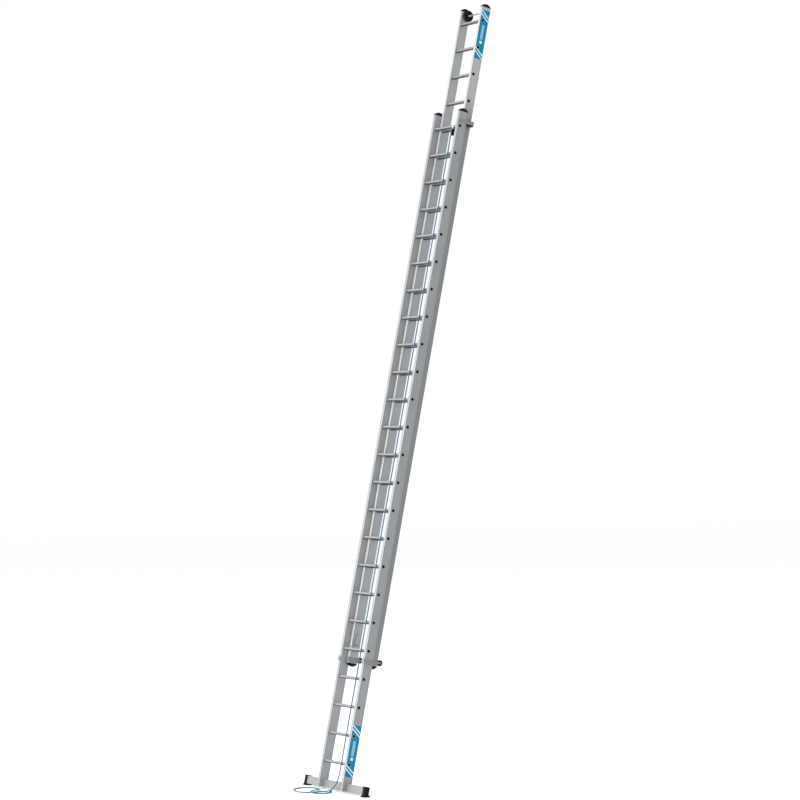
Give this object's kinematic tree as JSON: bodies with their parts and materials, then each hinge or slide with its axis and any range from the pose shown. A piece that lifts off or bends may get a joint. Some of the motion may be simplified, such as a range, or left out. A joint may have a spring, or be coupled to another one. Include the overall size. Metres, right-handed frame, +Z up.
{
  "type": "extension ladder",
  "caption": "Two-section aluminium extension ladder raised by a rope over a pulley, with a crossbar on rubber shoes, wall rollers and rung hooks.",
  "frame": {"origin": "on the floor, under the middle of the crossbar", "axes": "+Z up, +X to the ladder's right seen from the front, +Y to the rear, the way the ladder leans"},
  "size_m": [1.18, 2.093, 7.84],
  "materials": {
    "stile_aluminium": "satin, extruded",
    "rung_aluminium": "satin, ribbed tread",
    "crossbar_aluminium": "satin, extruded",
    "bracket_aluminium": "satin, pressed",
    "sleeve_aluminium": "satin",
    "zinc_steel": "zinc plated",
    "black_plastic": "moulded, fine grain",
    "shoe_rubber": "moulded",
    "roller_rubber": "moulded",
    "black_pulley": "painted black",
    "sheave_plastic": "turned",
    "printed_label": "printed film, teal with pale stripes",
    "blue_rope": "braided, blue with white flecks"
  },
  "bodies": {
    "base_section": {"base_stile_left": "stile_aluminium", "base_stile_right": "stile_aluminium", "base_cap_left": "black_plastic", "base_cap_right": "black_plastic", "crossbar": "crossbar_aluminium", "shoe_left": "shoe_rubber", "shoe_right": "shoe_rubber", "crossbar_bolts": "zinc_steel", "crossbar_nuts": "zinc_steel", "crossbar_spacers": "zinc_steel", "base_rungs_1_to_6": "rung_aluminium", "base_rungs_7_to_12": "rung_aluminium", "base_rungs_13_to_18": "rung_aluminium", "base_rungs_19_to_24": "rung_aluminium", "top_bracket_left": "bracket_aluminium", "top_bracket_right": "bracket_aluminium", "top_guide_left": "black_plastic", "top_guide_right": "black_plastic", "top_bracket_rivets": "bracket_aluminium", "base_label": "printed_label", "pulley_block": "black_pulley", "pulley_pin": "zinc_steel", "rope_hand_strand": "blue_rope", "rope_end_knot": "blue_rope"},
    "fly_section": {"fly_stile_left": "stile_aluminium", "fly_stile_right": "stile_aluminium", "fly_rungs_1_to_6": "rung_aluminium", "fly_rungs_7_to_12": "rung_aluminium", "fly_rungs_13_to_18": "rung_aluminium", "fly_rungs_19_to_24": "rung_aluminium", "fly_top_cap_left": "black_plastic", "fly_top_cap_right": "black_plastic", "fly_bottom_cap_left": "black_plastic", "fly_bottom_cap_right": "black_plastic", "lower_bracket_left": "bracket_aluminium", "lower_bracket_right": "bracket_aluminium", "lower_plate_left": "bracket_aluminium", "lower_plate_right": "bracket_aluminium", "lower_glides_left": "black_plastic", "lower_glides_right": "black_plastic", "lower_bracket_bolts": "zinc_steel", "lower_roller_bolts": "zinc_steel", "fly_label": "printed_label", "roller_axle": "zinc_steel", "axle_sleeves": "sleeve_aluminium", "axle_washers": "zinc_steel", "hook_pivots": "zinc_steel", "hook_spacers_and_stops": "zinc_steel", "rope_tie": "blue_rope", "rope_lift_strand": "blue_rope"},
    "pulley_sheave": {"pulley_sheave": "sheave_plastic"},
    "wall_roller_left": {"wall_roller_hub_left": "black_plastic", "wall_roller_tyre_left": "roller_rubber"},
    "wall_roller_right": {"wall_roller_hub_right": "black_plastic", "wall_roller_tyre_right": "roller_rubber"},
    "lower_roller_left": {"lower_roller_left": "roller_rubber"},
    "lower_roller_right": {"lower_roller_right": "roller_rubber"},
    "rung_hook_left": {"rung_hook_left": "zinc_steel"},
    "rung_hook_right": {"rung_hook_right": "zinc_steel"}
  },
  "joints": [
    {"name": "fly_slide", "type": "slide", "parent": "base_section", "child": "fly_section", "axis": [0, 0.2011, 0.9796], "range_m": [-1.12, 3.64], "deforming": ["rope_lift_strand"]},
    {"name": "sheave_spin", "type": "hinge", "parent": "base_section", "child": "pulley_sheave", "pos_m": [0.135, 1.28321, 6.52333], "axis": [1, 0, 0], "continuous": true},
    {"name": "wall_roller_left_spin", "type": "hinge", "parent": "fly_section", "child": "wall_roller_left", "pos_m": [-0.153, 1.65701, 7.76248], "axis": [1, 0, 0], "continuous": true},
    {"name": "lower_roller_left_spin", "type": "hinge", "parent": "fly_section", "child": "lower_roller_left", "pos_m": [-0.187, 0.38221, 1.24877], "axis": [1, 0, 0], "continuous": true},
    {"name": "hook_left_swing", "type": "hinge", "parent": "fly_section", "child": "rung_hook_left", "pos_m": [-0.1625, 0.31966, 1.40657], "axis": [1, 0, 0], "range_deg": [0, 115]},
    {"name": "wall_roller_right_spin", "type": "hinge", "parent": "fly_section", "child": "wall_roller_right", "pos_m": [0.153, 1.65701, 7.76248], "axis": [1, 0, 0], "continuous": true},
    {"name": "lower_roller_right_spin", "type": "hinge", "parent": "fly_section", "child": "lower_roller_right", "pos_m": [0.187, 0.38221, 1.24877], "axis": [1, 0, 0], "continuous": true},
    {"name": "hook_right_swing", "type": "hinge", "parent": "fly_section", "child": "rung_hook_right", "pos_m": [0.1625, 0.31966, 1.40657], "axis": [1, 0, 0], "range_deg": [0, 115]}
  ],
  "couplings": [
    {"joint": "sheave_spin", "follows": "fly_slide", "rad_per_m": 41.667}
  ]
}
